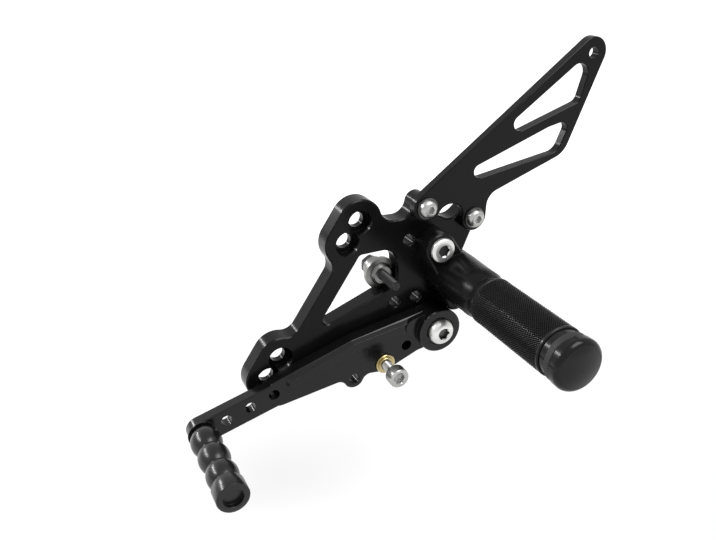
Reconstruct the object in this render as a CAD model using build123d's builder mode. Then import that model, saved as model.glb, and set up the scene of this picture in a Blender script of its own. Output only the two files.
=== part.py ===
"""Rear-set footrest, gear-lever side: base plate, heel guard, foot peg and gear lever.

X points to the rear of the motorbike, Y inboard and Z up, in millimetres.
The origin is midway between the two frame bolts, on the inner face of the base plate.
Depths called out_... are distances outboard of that face, so they run along -Y.
"""

import os
from math import asin, cos, degrees, radians, sin

from build123d import *

os.makedirs("parts", exist_ok=True)

# Fits
screw_clearance = 0.1
running_clearance = 0.05
axial_play = 0.3

# Row of frame bolt holes, two in each ear
bolt_row_tilt = 56.3
frame_bolt_span = 86.0
frame_bolt_step = 13.2
frame_hole_d = 8.5
frame_counterbore_d = 14.0
frame_counterbore_depth = 6.0
ear_r = 13.0

# Base plate
plate_t = 10.0
plate_chamfer = 0.8
plate_corner_r = 8.0
strut_edge = 0.7
strut_w = 10.0
strut_end_r = 6.0
strut_top_drop = 4.5
strut_foot_drop = 1.0
carrier_end_r = 15.0
plate_rear = (75.0, 6.0)
plate_rear_r = 12.5
pivot_end_r = 14.0
guard_lug_r = 6.0
window_corner_r = 3.0
window_arch_r = 9.0
window_arch = (37.5, 8.0)
window_top_web = 12.8
window_foot_web = 31.4
spare_hole_d = 6.8
spare_holes = [(53.6, 20.5), (45.7, -16.2), (59.2, -15.8)]

# Places of the main axes, seen from the side
carrier_bolt = (66.4, 18.0)
carrier_screw = (78.3, -15.2)
peg_axis = (78.2, -0.8)
pivot = (66.4, -31.6)
collar_axis = (40.4, -0.4)
guard_bolts_at = [(61.4, 39.8), (92.0, 29.4)]

# Heel guard
guard_t = 5.0
guard_chamfer = 0.5
guard_end_r = 7.8
guard_tip = (163.5, 114.2)
guard_tip_r = 8.8
guard_tip_hole_d = 6.5
guard_heel = (140.8, 69.3)
guard_heel_r = 13.0
guard_waist = (104.0, 50.3)
guard_waist_r = 7.4
guard_foot_r = 8.0
guard_foot_top = (92.5, 44.0)
guard_blend_r = 9.0
guard_arch = (76.5, 31.5)
guard_arch_r = 8.2
upper_window = [(118.6, 79.8, 4.2), (155.3, 103.2, 6.0), (153.2, 91.8, 5.0)]
lower_window = [(94.3, 55.9, 3.8), (146.8, 73.2, 4.0), (140.2, 67.7, 8.0)]

# Peg carrier, one block with the neck of the peg
carrier_t = 14.0
carrier_chamfer = 1.0
carrier_bolt_end_r = 9.0
carrier_screw_end_r = 7.0
carrier_waist_r = 10.0
carrier_blend_r = 4.0
neck_foot_r = 14.0
neck_end_r = 13.6
neck_l = 21.0
neck_chamfer = 3.0
throat_r = 11.8
throat_l = 9.0
spigot_r = 8.0
spigot_l = 10.0

# Foot peg
grip_r = 13.5
grip_l = 60.0
grip_nose_l = 3.5
grip_nose_r = 12.0
grip_edge = 0.6
grip_bore_r = 4.4
cap_pocket_r = 9.0
cap_pocket_l = 16.0
cap_stem_l = 6.0
cap_collar_step = 1.1
cap_collar_l = 4.0
cap_groove = 1.4
cap_neck_l = 4.5
cap_over = 0.3
cap_rim_l = 6.6
cap_dome = 1.6
cap_rim_round = 3.0
cap_rim_arc_r = 3.6
ring_under = 0.2

# Gear lever
arm_t = 7.5
toe_arm_t = 6.5
lever_chamfer = 0.6
lever_blend_r = 5.0
hub_r = 12.2
hub_t = 14.4
hub_recess_r = 8.6
hub_recess_depth = 1.0
boss_nose = (51.5, -27.6)
boss_nose_r = 5.0
arm_knee = (17.0, -40.4)
arm_knee_r = 11.8
arm_ankle = (-28.0, -51.0)
arm_ankle_r = 8.2
toe_arm_r = 7.2
toe_hole_d = 6.2
toe_pitch = 14.2
toe_holes = 3
toe_axis = (-72.5, -63.7)
toe_arm_tilt = 17.6
rib_t = 2.4
rib_slope = 30.0
rib_edge = 0.2
rib_knee_lead = 2.0
rib_knee_r = 3.6
rib_foot_lead = 6.0
rib_foot_rise = 0.8
rib_foot_r = 3.2
rib_end_lead = 1.5
rib_end_rise = 0.4
rib_end_r = 4.2
rod_holes = [(15.8, -53.8), (48.6, -40.2)]
rod_hole_d = 6.2
rod_screw_at = (34.8, -48.4)
rod_lobe_r = 6.0
rod_screw_land_r = 5.6
lever_belly = 3.0

# Lever pivot
bush_r = 7.5
bush_flange_r = 10.0
bush_flange_t = 1.0
sleeve_r = 6.0
thrust_washer_t = 0.8
thrust_washer_r = 10.0

# Toe peg
toe_peg_r = 8.5
toe_waist_r = 6.7
toe_bulb_r = 8.0
toe_bulb_pitch = 12.2
toe_bulbs = 3
toe_collar_l = 2.4
toe_end_l = 15.5
toe_bore_r = 5.3
toe_bore_depth = 11.0
toe_edge = 0.8

# Screws: thread, head width, head height and key size; shares are parts of a head
m8_d = 8.0
m8_head_d = 14.0
m8_head_h = 4.4
m8_key = 5.0
m6_d = 6.0
m6_button_d = 10.5
m6_button_h = 3.3
m6_button_key = 4.0
m6_cap_d = 10.0
m6_cap_h = 6.0
m6_cap_key = 5.0
m8_cap_d = 13.0
m8_cap_h = 8.0
m8_cap_key = 6.0
washer_t = 1.2
m8_washer_d = 16.0
m6_washer_d = 12.0
m6_washer_t = 1.0
thread_inset = 0.8
button_flat_share = 0.25
button_dome_share = 0.72
button_socket_share = 0.6
cap_socket_share = 0.5

# Shift-rod screw
rod_spacer_l = 2.8
rod_spacer_d = 9.6
rod_grip_l = 8.4

# Stand-off stud in the window
collar_r = 6.5
collar_in = 8.0
collar_inset = 5.0
collar_nose_r = 5.2
collar_nose_l = 1.6
collar_flange_r = 9.5
collar_flange_t = 2.5
stud_out = 21.0
stud_nut_w = 10.0
stud_nut_t = 5.0
stud_tail = 2.0
stud_chamfer = 0.75
edge_break = 0.5

# Depths outboard of the inner face
out_guard = plate_t + guard_t
out_carrier = plate_t + carrier_t
out_neck = out_carrier + neck_l
out_grip = out_neck + throat_l
out_grip_end = out_grip + grip_l
out_thrust = plate_t + thrust_washer_t
out_bush = out_thrust + axial_play
out_hub_back = out_bush + bush_flange_t
out_arm = out_hub_back + arm_t
out_hub = out_hub_back + hub_t
out_recess = out_hub - hub_recess_depth
out_sleeve = out_recess + axial_play
out_toe_peg = out_arm
out_toe_end = out_toe_peg + toe_collar_l + toe_bulbs * toe_bulb_pitch + toe_end_l
out_rod_head = out_arm + rod_spacer_l + rod_grip_l

row_cos = cos(radians(bolt_row_tilt))
row_sin = sin(radians(bolt_row_tilt))


def on_row(along, aside=0.0):
    """Point at a distance along the bolt row and aside of it, towards the rear."""
    return (along * row_cos + aside * row_sin, along * row_sin - aside * row_cos)


def side_plane(out):
    """Plane parallel to the plate, looking outboard, at a depth outboard of its inner face."""
    return Plane.XZ.offset(out)


def face_plane(point, out):
    """Outboard-looking plane with its origin on the axis through a side-view point."""
    return Plane(origin=(point[0], -out, point[1]), x_dir=(1, 0, 0), z_dir=(0, -1, 0))


def back_plane(point, out):
    """Inboard-looking plane with its origin on the axis through a side-view point."""
    return Plane(origin=(point[0], -out, point[1]), x_dir=(1, 0, 0), z_dir=(0, 1, 0))


def lathe_plane(point):
    """Half-plane of a turned piece: local x is the radius and local y the depth outboard."""
    return Plane(origin=(point[0], 0, point[1]), x_dir=(1, 0, 0), z_dir=(0, 0, -1))


def lathe_axis(point):
    return Axis((point[0], 0, point[1]), (0, -1, 0))


def link(*circles):
    """Outline that wraps a band round circles given as (x, z, radius)."""
    with BuildSketch(mode=Mode.PRIVATE) as band:
        for x, z, radius in circles:
            with Locations((x, z)):
                Circle(radius)
        make_hull()
    return band.sketch


def round_inner_corners(radius):
    """Give the inner corners of the sketch being drawn one radius."""
    offset(amount=radius, kind=Kind.ARC)
    offset(amount=-radius, kind=Kind.ARC)


def button_screw(label, points, out, size, head_d, head_h, key, shank):
    """Domed socket screws with the head's underside at depth out."""
    crown = head_d * button_flat_share
    with BuildPart() as screw:
        for point in points:
            with BuildSketch(lathe_plane(point)):
                with BuildLine():
                    Polyline((0, out + head_h), (0, out - shank), (size / 2 - screw_clearance, out - shank))
                    Line((size / 2 - screw_clearance, out - shank), (size / 2 - screw_clearance, out))
                    Line((size / 2 - screw_clearance, out), (head_d / 2, out))
                    Line((head_d / 2, out), (head_d / 2, out + edge_break))
                    ThreePointArc(
                        (head_d / 2, out + edge_break),
                        ((head_d / 2 + crown) / 2 + edge_break, out + head_h * button_dome_share),
                        (crown, out + head_h),
                    )
                    Line((crown, out + head_h), (0, out + head_h))
                make_face()
            revolve(axis=lathe_axis(point))
            with BuildSketch(face_plane(point, out + head_h)):
                RegularPolygon(key / 2, 6, major_radius=False)
            extrude(amount=-head_h * button_socket_share, mode=Mode.SUBTRACT)
    screw.part.label = label
    return screw.part


def cap_screw(label, point, out, size, head_d, head_h, key, shank, inboard=False):
    """Cylinder-head socket screw; the head looks outboard, or inboard when so asked."""
    way = -1 if inboard else 1
    with BuildPart() as screw:
        with BuildSketch(face_plane(point, out)):
            Circle(head_d / 2)
        extrude(amount=way * head_h)
        chamfer(screw.faces().sort_by(Axis.Y)[0 if way > 0 else -1].edges(), length=edge_break)
        with BuildSketch(face_plane(point, out)):
            Circle(size / 2 - screw_clearance)
        extrude(amount=-way * shank)
        with BuildSketch(face_plane(point, out + way * head_h)):
            RegularPolygon(key / 2, 6, major_radius=False)
        extrude(amount=-way * head_h * cap_socket_share, mode=Mode.SUBTRACT)
    screw.part.label = label
    return screw.part


def ring(label, points, out, thickness, outer_r, inner_r):
    """Flat rings, each centred on a side-view point."""
    with BuildPart() as flat:
        for point in points:
            with BuildSketch(face_plane(point, out)):
                Circle(outer_r)
                Circle(inner_r, mode=Mode.SUBTRACT)
            extrude(amount=thickness)
    flat.part.label = label
    return flat.part


upper_ear = [on_row(frame_bolt_span / 2), on_row(frame_bolt_span / 2 - frame_bolt_step)]
lower_ear = [on_row(-frame_bolt_span / 2), on_row(-frame_bolt_span / 2 - frame_bolt_step)]
strut_top = frame_bolt_span / 2 - strut_top_drop
strut_foot = -frame_bolt_span / 2 - strut_foot_drop
strut_side = strut_edge + strut_w + window_corner_r
window_top = strut_top - window_top_web
window_foot = strut_foot + window_foot_web
collar_seat_r = collar_r + running_clearance

# Base plate: two ears, the strut between them and the field that carries the rest
with BuildPart() as base_plate:
    with BuildSketch(side_plane(0)):
        add(
            link(
                (*on_row(strut_top, strut_edge + strut_end_r), strut_end_r),
                (*on_row(strut_foot, strut_edge + strut_end_r), strut_end_r),
                (*carrier_bolt, carrier_end_r),
                (*plate_rear, plate_rear_r),
                (*pivot, pivot_end_r),
            )
        )
        add(link(*[(*hole, ear_r) for hole in upper_ear]))
        add(link(*[(*hole, ear_r) for hole in lower_ear]))
        add(link((*guard_bolts_at[0], guard_lug_r), (*carrier_bolt, guard_lug_r)))
        add(link((*guard_bolts_at[1], guard_lug_r), (*plate_rear, plate_rear_r)))
        round_inner_corners(plate_corner_r)
        add(
            link(
                (*on_row(window_foot, strut_side), window_corner_r),
                (*on_row(window_top, strut_side), window_corner_r),
                (*window_arch, window_arch_r),
                (*collar_axis, collar_seat_r),
            ),
            mode=Mode.SUBTRACT,
        )
    extrude(amount=plate_t)
    chamfer(base_plate.faces().sort_by(Axis.Y)[0].edges(), length=plate_chamfer)
    for hole in upper_ear + lower_ear:
        with Locations(face_plane(hole, plate_t)):
            CounterBoreHole(frame_hole_d / 2, frame_counterbore_d / 2, frame_counterbore_depth)
    with Locations(*[face_plane(hole, plate_t) for hole in spare_holes]):
        CounterSinkHole(spare_hole_d / 2, spare_hole_d / 2 + edge_break)
    with Locations(face_plane(carrier_bolt, plate_t), face_plane(pivot, plate_t)):
        Hole(m8_d / 2)
    with Locations(*[face_plane(bolt, plate_t) for bolt in guard_bolts_at]):
        Hole(m6_d / 2)
    with Locations(back_plane(carrier_screw, 0)):
        CounterBoreHole(m6_d / 2, m6_cap_d / 2 + screw_clearance, m6_cap_h)
    with BuildSketch(face_plane(collar_axis, 0)):
        Circle(collar_flange_r + running_clearance)
    extrude(amount=collar_flange_t, mode=Mode.SUBTRACT)
base_plate.part.label = "base_plate"
export_step(base_plate.part, "parts/base_plate.step")

# Heel guard: a triangle with two windows and an arch between its two feet
with BuildPart() as heel_guard:
    with BuildSketch(side_plane(plate_t)):
        add(
            link(
                (*guard_bolts_at[0], guard_end_r),
                (*guard_tip, guard_tip_r),
                (*guard_heel, guard_heel_r),
                (*guard_waist, guard_waist_r),
            )
        )
        add(link((*guard_bolts_at[1], guard_foot_r), (*guard_foot_top, guard_foot_r)))
        round_inner_corners(guard_blend_r)
        with Locations(guard_arch):
            Circle(guard_arch_r, mode=Mode.SUBTRACT)
        with Locations((guard_arch[0], guard_arch[1] - guard_arch_r)):
            Rectangle(2 * guard_arch_r, 2 * guard_arch_r, mode=Mode.SUBTRACT)
        add(link(*upper_window), mode=Mode.SUBTRACT)
        add(link(*lower_window), mode=Mode.SUBTRACT)
    extrude(amount=guard_t)
    chamfer(heel_guard.faces().sort_by(Axis.Y)[0].edges(), length=guard_chamfer)
    with Locations(face_plane(guard_tip, out_guard)):
        Hole(guard_tip_hole_d / 2)
    with Locations(*[face_plane(bolt, out_guard) for bolt in guard_bolts_at]):
        Hole(m6_d / 2 + screw_clearance)
heel_guard.part.label = "heel_guard"
export_step(heel_guard.part, "parts/heel_guard.step")

# Peg carrier: a lobed flange with the neck, the throat and the spigot of the peg
with BuildPart() as peg_carrier:
    with BuildSketch(side_plane(plate_t)):
        add(link((*carrier_bolt, carrier_bolt_end_r), (*peg_axis, carrier_waist_r)))
        add(link((*carrier_screw, carrier_screw_end_r), (*peg_axis, carrier_waist_r)))
        with Locations(peg_axis):
            Circle(neck_foot_r)
        round_inner_corners(carrier_blend_r)
    extrude(amount=carrier_t)
    chamfer(peg_carrier.faces().sort_by(Axis.Y)[0].edges(), length=carrier_chamfer)
    with BuildSketch(lathe_plane(peg_axis)):
        with BuildLine():
            Polyline(
                (0, plate_t + carrier_t / 2),
                (neck_foot_r, plate_t + carrier_t / 2),
                (neck_foot_r, out_carrier),
                (neck_end_r, out_neck - neck_chamfer),
                (throat_r, out_neck),
                (throat_r, out_grip),
                (spigot_r, out_grip),
                (spigot_r, out_grip + spigot_l),
                (0, out_grip + spigot_l),
                close=True,
            )
        make_face()
    revolve(axis=lathe_axis(peg_axis))
    with Locations(face_plane(carrier_bolt, out_carrier)):
        Hole(m8_d / 2 + screw_clearance, depth=carrier_t)
    with Locations(back_plane(carrier_screw, plate_t)):
        Hole(m6_d / 2, depth=carrier_t - carrier_chamfer)
    with Locations(face_plane(peg_axis, out_grip + spigot_l)):
        Hole(m8_d / 2, depth=spigot_l + throat_l + neck_l)
peg_carrier.part.label = "peg_carrier"
export_step(peg_carrier.part, "parts/peg_carrier.step")

# Carrier fixings
carrier_washer = ring(
    "carrier_washer", [carrier_bolt], out_carrier, washer_t, m8_washer_d / 2, m8_d / 2 + screw_clearance
)
export_step(carrier_washer, "parts/carrier_washer.step")
out_carrier_head = out_carrier + washer_t
carrier_bolt_part = button_screw(
    "carrier_bolt", [carrier_bolt], out_carrier_head, m8_d, m8_head_d, m8_head_h, m8_key,
    out_carrier_head - thread_inset,
)
export_step(carrier_bolt_part, "parts/carrier_bolt.step")
carrier_screw_part = cap_screw(
    "carrier_screw", carrier_screw, m6_cap_h, m6_d, m6_cap_d, m6_cap_h - edge_break, m6_cap_key,
    out_carrier - m6_cap_h - carrier_chamfer - thread_inset, inboard=True,
)
export_step(carrier_screw_part, "parts/carrier_screw.step")

# Foot peg: a turned sleeve with a tapered nose, bored for its bolt and for the end cap
out_bolt_seat = out_grip_end - cap_pocket_l
with BuildPart() as peg_grip:
    with BuildSketch(lathe_plane(peg_axis)):
        with BuildLine():
            Polyline(
                (spigot_r + running_clearance, out_grip),
                (grip_nose_r, out_grip),
                (grip_r, out_grip + grip_nose_l),
                (grip_r, out_grip_end - grip_edge),
                (grip_r - grip_edge, out_grip_end),
                (cap_pocket_r, out_grip_end),
                (cap_pocket_r, out_bolt_seat),
                (grip_bore_r, out_bolt_seat),
                (grip_bore_r, out_grip + spigot_l + axial_play),
                (spigot_r + running_clearance, out_grip + spigot_l + axial_play),
                close=True,
            )
        make_face()
    revolve(axis=lathe_axis(peg_axis))
peg_grip.part.label = "peg_grip"
export_step(peg_grip.part, "parts/peg_grip.step")

peg_bolt = cap_screw(
    "peg_bolt", peg_axis, out_bolt_seat, m8_d, m8_cap_d, m8_cap_h, m8_cap_key,
    out_bolt_seat - out_carrier - thread_inset,
)
export_step(peg_bolt, "parts/peg_bolt.step")

# End cap: a stem in the grip, a collar, a neck for the ring and a domed disc
cap_r = grip_r + cap_over
cap_collar_r = grip_r - cap_collar_step
cap_neck_r = cap_collar_r - cap_groove
ring_r = grip_r - ring_under
out_cap_collar = out_grip_end + cap_collar_l
out_cap_disc = out_cap_collar + cap_neck_l
out_cap_end = out_cap_disc + cap_rim_l + cap_dome
cap_face_r = cap_r - cap_rim_round
cap_dome_r = (cap_face_r**2 + cap_dome**2) / (2 * cap_dome)
cap_dome_angle = degrees(asin(cap_face_r / cap_dome_r))
with BuildPart() as peg_cap:
    with BuildSketch(lathe_plane(peg_axis)):
        with BuildLine():
            Polyline(
                (0, out_cap_end),
                (0, out_grip_end - cap_stem_l),
                (cap_pocket_r - running_clearance, out_grip_end - cap_stem_l),
                (cap_pocket_r - running_clearance, out_grip_end),
                (cap_collar_r, out_grip_end),
                (cap_collar_r, out_cap_collar),
                (cap_neck_r, out_cap_collar),
                (cap_neck_r, out_cap_disc),
                (cap_r - edge_break, out_cap_disc),
                (cap_r, out_cap_disc + edge_break),
                (cap_r, out_cap_disc + cap_rim_l - cap_rim_round),
            )
            RadiusArc(
                (cap_r, out_cap_disc + cap_rim_l - cap_rim_round),
                (cap_face_r, out_cap_disc + cap_rim_l),
                -cap_rim_arc_r,
            )
            CenterArc(
                (0, out_cap_end - cap_dome_r), cap_dome_r, 90 - cap_dome_angle, cap_dome_angle
            )
        make_face()
    revolve(axis=lathe_axis(peg_axis))
peg_cap.part.label = "peg_cap"
export_step(peg_cap.part, "parts/peg_cap.step")

# Rubber ring in the groove of the cap
with BuildPart() as peg_ring:
    with BuildSketch(lathe_plane(peg_axis)):
        with Locations(((cap_neck_r + ring_r) / 2, (out_cap_collar + out_cap_disc) / 2)):
            Rectangle(ring_r - cap_neck_r, cap_neck_l - axial_play)
    revolve(axis=lathe_axis(peg_axis))
    chamfer(peg_ring.edges().filter_by(GeomType.CIRCLE).group_by(SortBy.RADIUS)[-1], length=edge_break)
peg_ring.part.label = "peg_ring"
export_step(peg_ring.part, "parts/peg_ring.step")


def toe_hole(number):
    """Hole of the toe arm, counted from the one that holds the toe peg."""
    along = number * toe_pitch
    return (
        toe_axis[0] + along * cos(radians(toe_arm_tilt)),
        toe_axis[1] + along * sin(radians(toe_arm_tilt)),
    )


# Raised rib of the lever: it follows the upper edge from the ankle over the knee to the boss
rib_points = [
    (
        arm_ankle[0] + rib_foot_lead,
        arm_ankle[1] + arm_ankle_r + rib_foot_rise - rib_foot_r,
        rib_foot_r,
    ),
    (
        arm_knee[0] - rib_knee_lead,
        arm_knee[1] + arm_knee_r - rib_edge - rib_knee_r,
        rib_knee_r,
    ),
    (boss_nose[0] - rib_end_lead, boss_nose[1] + rib_end_rise, rib_end_r),
]

# Gear lever: hub, bellied arm with a raised rib, rod lobe and thin toe arm
with BuildPart() as gear_lever:
    with BuildSketch(side_plane(out_hub_back)):
        add(link((*pivot, hub_r), (*boss_nose, boss_nose_r), (*arm_knee, arm_knee_r)))
        add(link((*arm_knee, arm_knee_r), (*arm_ankle, arm_ankle_r)))
        add(link((*rod_screw_at, rod_screw_land_r), (*arm_knee, arm_knee_r), (*pivot, hub_r - lever_belly)))
        with Locations(rod_holes[0]):
            Circle(rod_lobe_r)
        round_inner_corners(lever_blend_r)
    extrude(amount=arm_t)
    with BuildSketch(side_plane(out_arm - toe_arm_t)):
        add(link((*toe_axis, toe_arm_r), (*arm_ankle, toe_arm_r)))
    extrude(amount=toe_arm_t)
    chamfer(gear_lever.faces().sort_by(Axis.Y)[0].outer_wire().edges(), length=lever_chamfer)
    with BuildSketch(side_plane(out_arm)):
        for start, end in zip(rib_points, rib_points[1:]):
            add(link(start, end))
    extrude(amount=rib_t, taper=rib_slope)
    with BuildSketch(side_plane(out_hub_back)):
        add(link((*pivot, hub_r), (*boss_nose, boss_nose_r)))
    extrude(amount=hub_t)
    chamfer(gear_lever.faces().sort_by(Axis.Y)[0].outer_wire().edges(), length=lever_chamfer)
    with Locations(face_plane(pivot, out_hub)):
        CounterBoreHole(bush_r, hub_recess_r, hub_recess_depth)
    with Locations(*[face_plane(toe_hole(number), out_arm) for number in range(1, toe_holes + 1)]):
        Hole(toe_hole_d / 2)
    with Locations(face_plane(toe_axis, out_arm), face_plane(rod_screw_at, out_arm)):
        Hole(m6_d / 2)
    with Locations(*[face_plane(hole, out_arm) for hole in rod_holes]):
        Hole(rod_hole_d / 2)
gear_lever.part.label = "gear_lever"
export_step(gear_lever.part, "parts/gear_lever.step")

# Lever pivot: bronze bush in the hub, steel sleeve under the bolt and the washers
with BuildPart() as lever_bush:
    with BuildSketch(face_plane(pivot, out_bush)):
        Circle(bush_flange_r)
    extrude(amount=bush_flange_t)
    with BuildSketch(face_plane(pivot, out_bush)):
        Circle(bush_r)
    extrude(amount=out_recess - out_bush)
    with BuildSketch(face_plane(pivot, out_bush)):
        Circle(sleeve_r + running_clearance)
    extrude(amount=out_recess - out_bush, mode=Mode.SUBTRACT)
lever_bush.part.label = "lever_bush"
export_step(lever_bush.part, "parts/lever_bush.step")

pivot_sleeve = ring(
    "pivot_sleeve", [pivot], plate_t, out_sleeve - plate_t, sleeve_r, m8_d / 2 + screw_clearance
)
export_step(pivot_sleeve, "parts/pivot_sleeve.step")
thrust_washer = ring(
    "thrust_washer", [pivot], plate_t, thrust_washer_t, thrust_washer_r, sleeve_r + running_clearance
)
export_step(thrust_washer, "parts/thrust_washer.step")
pivot_washer = ring(
    "pivot_washer", [pivot], out_sleeve, washer_t, m8_washer_d / 2, m8_d / 2 + screw_clearance
)
export_step(pivot_washer, "parts/pivot_washer.step")
out_pivot_head = out_sleeve + washer_t
pivot_bolt = button_screw(
    "pivot_bolt", [pivot], out_pivot_head, m8_d, m8_head_d, m8_head_h, m8_key, out_pivot_head - thread_inset
)
export_step(pivot_bolt, "parts/pivot_bolt.step")

# Toe peg: turned bulbs between narrow waists and a plain end with a deep socket
out_toe_bulbs = out_toe_peg + toe_collar_l
out_toe_plain = out_toe_end - toe_end_l
out_toe_seat = out_toe_end - toe_bore_depth
with BuildPart() as toe_peg:
    with BuildSketch(lathe_plane(toe_axis)):
        with BuildLine():
            Line((m6_d / 2 + screw_clearance, out_toe_peg), (toe_waist_r, out_toe_peg))
            Line((toe_waist_r, out_toe_peg), (toe_waist_r, out_toe_bulbs))
            for bulb in range(toe_bulbs):
                out_start = out_toe_bulbs + bulb * toe_bulb_pitch
                ThreePointArc(
                    (toe_waist_r, out_start),
                    (toe_bulb_r, out_start + toe_bulb_pitch / 2),
                    (toe_waist_r, out_start + toe_bulb_pitch),
                )
            Polyline(
                (toe_waist_r, out_toe_plain),
                (toe_peg_r - toe_edge, out_toe_plain + toe_edge),
                (toe_peg_r, out_toe_plain + toe_end_l / 2),
                (toe_peg_r, out_toe_end - toe_edge),
                (toe_peg_r - toe_edge, out_toe_end),
                (toe_bore_r, out_toe_end),
                (toe_bore_r, out_toe_seat),
                (m6_d / 2 + screw_clearance, out_toe_seat),
                (m6_d / 2 + screw_clearance, out_toe_peg),
            )
        make_face()
    revolve(axis=lathe_axis(toe_axis))
toe_peg.part.label = "toe_peg"
export_step(toe_peg.part, "parts/toe_peg.step")

toe_screw = cap_screw(
    "toe_screw", toe_axis, out_toe_seat, m6_d, m6_cap_d, m6_cap_h, m6_cap_key,
    out_toe_seat - (out_arm - toe_arm_t) - thread_inset,
)
export_step(toe_screw, "parts/toe_screw.step")

# Shift-rod screw with its brass spacer
rod_spacer = ring(
    "rod_spacer", [rod_screw_at], out_arm, rod_spacer_l, rod_spacer_d / 2, m6_d / 2 + screw_clearance
)
export_step(rod_spacer, "parts/rod_spacer.step")
rod_screw = cap_screw(
    "rod_screw", rod_screw_at, out_rod_head, m6_d, m6_cap_d, m6_cap_h, m6_cap_key,
    out_rod_head - out_hub_back - thread_inset,
)
export_step(rod_screw, "parts/rod_screw.step")

# Heel-guard fixings
guard_washers = ring(
    "guard_washers", guard_bolts_at, out_guard, m6_washer_t, m6_washer_d / 2, m6_d / 2 + screw_clearance
)
export_step(guard_washers, "parts/guard_washers.step")
out_guard_head = out_guard + m6_washer_t
guard_bolts = button_screw(
    "guard_bolts", guard_bolts_at, out_guard_head, m6_d, m6_button_d, m6_button_h, m6_button_key,
    out_guard_head - thread_inset,
)
export_step(guard_bolts, "parts/guard_bolts.step")

# Stand-off collar in the corner of the window, its flange let into the inner face, with its stud and nut
with BuildPart() as stud_collar:
    with BuildSketch(lathe_plane(collar_axis)):
        with BuildLine():
            Polyline(
                (m6_d / 2, -collar_in),
                (collar_r - edge_break, -collar_in),
                (collar_r, edge_break - collar_in),
                (collar_r, 0),
                (collar_flange_r, 0),
                (collar_flange_r, collar_flange_t),
                (collar_r, collar_flange_t),
                (collar_r, plate_t - collar_inset - collar_nose_l),
                (collar_nose_r, plate_t - collar_inset),
                (m6_d / 2, plate_t - collar_inset),
                close=True,
            )
        make_face()
    revolve(axis=lathe_axis(collar_axis))
stud_collar.part.label = "stud_collar"
export_step(stud_collar.part, "parts/stud_collar.step")

with BuildPart() as stud:
    with BuildSketch(face_plane(collar_axis, -collar_in - stud_nut_t - stud_tail)):
        Circle(m6_d / 2 - screw_clearance)
    extrude(amount=stud_out + collar_in + stud_nut_t + stud_tail)
    chamfer(stud.faces().sort_by(Axis.Y)[0].edges(), length=stud_chamfer)
stud.part.label = "stud"
export_step(stud.part, "parts/stud.step")

with BuildPart() as stud_nut:
    with BuildSketch(face_plane(collar_axis, -collar_in - stud_nut_t)):
        RegularPolygon(stud_nut_w / 2, 6, major_radius=False)
        Circle(m6_d / 2, mode=Mode.SUBTRACT)
    extrude(amount=stud_nut_t)
stud_nut.part.label = "stud_nut"
export_step(stud_nut.part, "parts/stud_nut.step")
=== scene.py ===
from math import cos, pi, radians, sin, tan

import bmesh
import bpy
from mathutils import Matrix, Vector


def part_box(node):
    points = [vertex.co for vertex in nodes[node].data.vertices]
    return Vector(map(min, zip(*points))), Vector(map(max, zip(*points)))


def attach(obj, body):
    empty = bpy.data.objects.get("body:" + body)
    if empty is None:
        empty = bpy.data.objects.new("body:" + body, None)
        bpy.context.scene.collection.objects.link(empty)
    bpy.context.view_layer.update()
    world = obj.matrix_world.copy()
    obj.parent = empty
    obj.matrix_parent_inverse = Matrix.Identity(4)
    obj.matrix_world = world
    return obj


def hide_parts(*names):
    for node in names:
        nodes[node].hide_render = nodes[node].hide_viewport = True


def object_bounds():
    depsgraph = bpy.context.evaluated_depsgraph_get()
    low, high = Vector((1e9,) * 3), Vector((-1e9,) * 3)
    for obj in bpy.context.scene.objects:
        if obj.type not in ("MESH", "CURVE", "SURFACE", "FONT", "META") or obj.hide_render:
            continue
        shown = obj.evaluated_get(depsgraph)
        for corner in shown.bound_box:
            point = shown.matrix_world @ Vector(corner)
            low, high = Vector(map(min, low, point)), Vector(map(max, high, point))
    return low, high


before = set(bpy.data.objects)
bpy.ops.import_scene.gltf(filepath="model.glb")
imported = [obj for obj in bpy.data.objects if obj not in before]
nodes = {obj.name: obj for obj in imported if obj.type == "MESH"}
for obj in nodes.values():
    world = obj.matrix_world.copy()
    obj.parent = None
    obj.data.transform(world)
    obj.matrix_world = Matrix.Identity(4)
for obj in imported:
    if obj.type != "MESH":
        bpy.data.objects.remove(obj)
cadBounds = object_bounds()
scene = bpy.context.scene
scene.view_settings.view_transform = "Standard"
mm = 0.001
perMetre = 1000.0  # millimetres in a metre, for texture scales
print("frame loaded:", len(nodes), "nodes")


# node tree helpers
def addNode(tree, kind, x, y, **settings):
    node = tree.nodes.new(kind)
    node.location = (x, y)
    for key, value in settings.items():
        setattr(node, key, value)
    return node


def join(tree, source, target):
    if isinstance(source, (int, float)):
        target.default_value = source
    else:
        tree.links.new(source, target)


def calc(tree, how, x, y, first, second=0.0):
    node = addNode(tree, "ShaderNodeMath", x, y, operation=how)
    join(tree, first, node.inputs[0])
    join(tree, second, node.inputs[1])
    return node.outputs[0]


def remap(tree, value, low, high, newLow, newHigh, x, y):
    node = addNode(tree, "ShaderNodeMapRange", x, y)
    for slot, number in enumerate((low, high, newLow, newHigh), 1):
        node.inputs[slot].default_value = number
    join(tree, value, node.inputs[0])
    return node.outputs[0]


def tint(tree, factor, first, second, x, y):
    node = addNode(tree, "ShaderNodeMix", x, y, data_type="RGBA")
    for slot, colour in ((6, first), (7, second)):
        if isinstance(colour, tuple):
            node.inputs[slot].default_value = (*colour, 1)
        else:
            join(tree, colour, node.inputs[slot])
    join(tree, factor, node.inputs[0])
    return node.outputs[2]


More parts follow.
